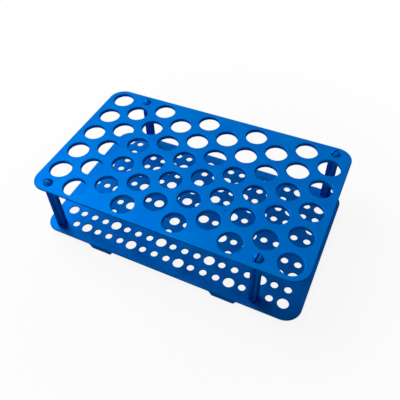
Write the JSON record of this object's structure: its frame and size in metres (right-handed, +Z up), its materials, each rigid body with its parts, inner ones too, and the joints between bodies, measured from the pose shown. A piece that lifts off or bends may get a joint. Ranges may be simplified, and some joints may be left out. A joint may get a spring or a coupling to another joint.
{
  "type": "microcentrifuge tube rack",
  "caption": "Two-tier tube rack: an upper plate with staggered tube holes over a perforated lower plate on feet, held apart by ribbed snap-in pillars.",
  "frame": {"origin": "on the table, under the middle of the rack: the centre of the box's bottom, in the plane of the feet", "axes": "+X along the long side to the right, +Y along the short side to the back, +Z up"},
  "size_m": [0.213, 0.13, 0.0573],
  "materials": {
    "blue_plastic": "smooth moulded polypropylene, satin to glossy"
  },
  "bodies": {
    "root": {"upper_plate": "blue_plastic", "lower_plate": "blue_plastic", "pillar_front_left": "blue_plastic", "pillar_front_right": "blue_plastic", "pillar_back_left": "blue_plastic", "pillar_back_right": "blue_plastic"}
  },
  "joints": []
}
